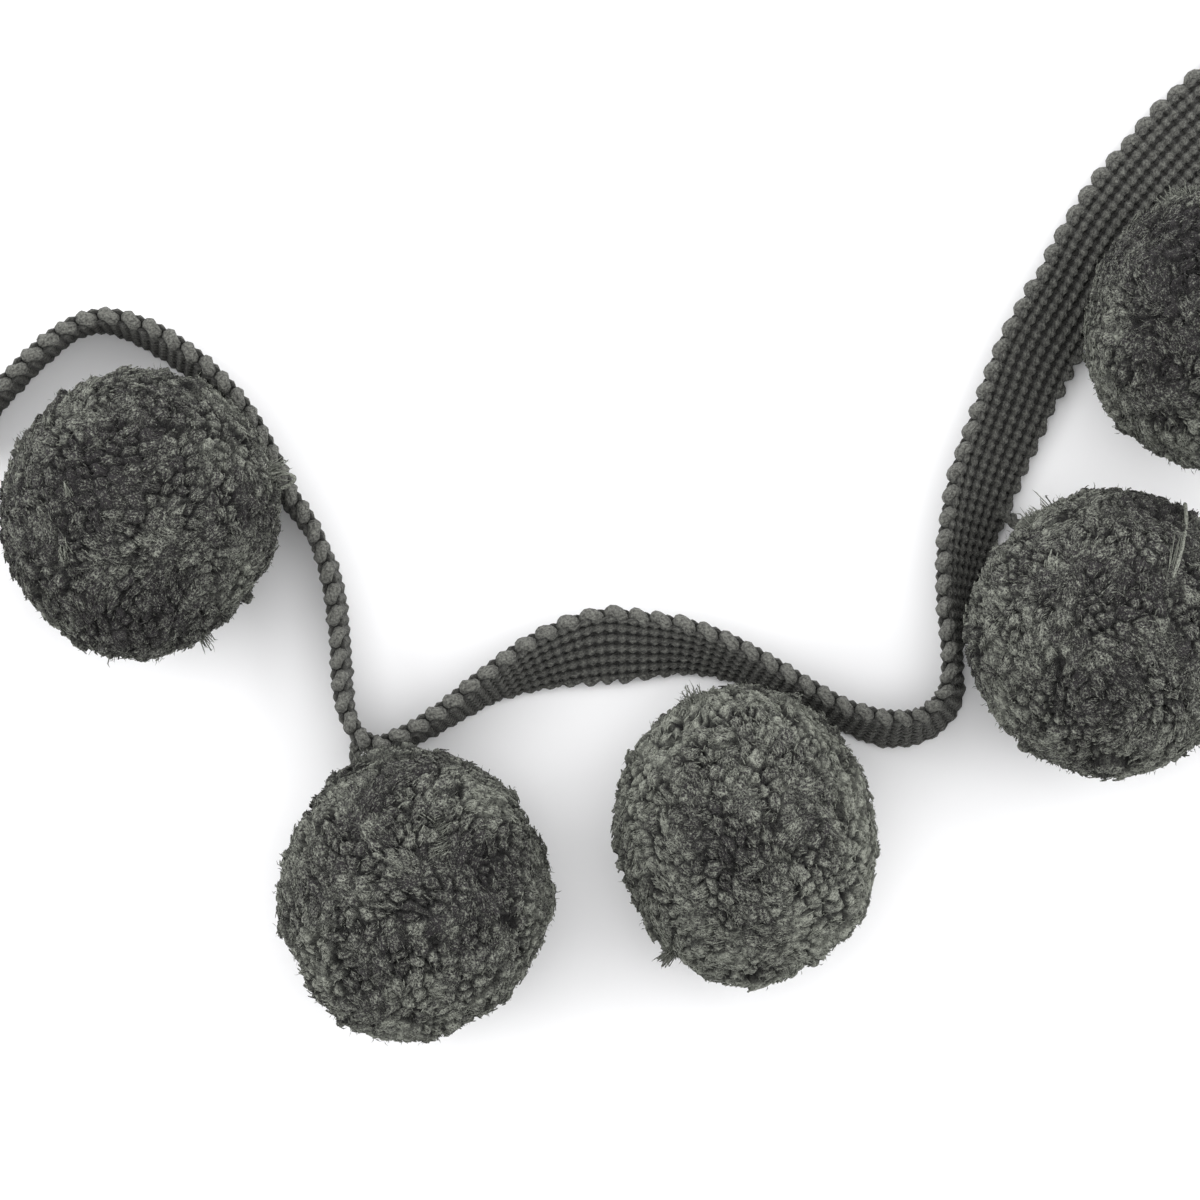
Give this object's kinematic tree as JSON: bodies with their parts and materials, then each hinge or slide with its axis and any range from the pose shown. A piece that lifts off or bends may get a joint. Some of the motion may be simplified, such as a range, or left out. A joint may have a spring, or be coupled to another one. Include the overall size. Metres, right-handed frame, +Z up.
{
  "type": "pompom fringe trim",
  "caption": "Length of looped-edge braid lying in loose curves, with round cut-yarn pompoms tied along its lower edge.",
  "frame": {"origin": "middle of the bounding box in plan, on the surface that the trim lies on", "axes": "+X along the longest extent, from the braid's first pompom to its last; +Y across the table; +Z up"},
  "size_m": [0.2022, 0.1428, 0.0402],
  "materials": {
    "braid": "woven ribs with looped edges, matt, dark olive grey",
    "pile_yarn": "dense fuzzy cut yarn, matt, dark olive grey",
    "tie_yarn": "thin twisted yarn, matt, dark olive grey"
  },
  "bodies": {
    "root": {"heading_tape": "braid", "pompom_1": "pile_yarn", "pompom_2": "pile_yarn", "pompom_3": "pile_yarn", "pompom_4": "pile_yarn", "pompom_5": "pile_yarn", "tie_1": "tie_yarn", "tie_2": "tie_yarn", "tie_3": "tie_yarn", "tie_4": "tie_yarn", "tie_5": "tie_yarn"}
  },
  "joints": []
}
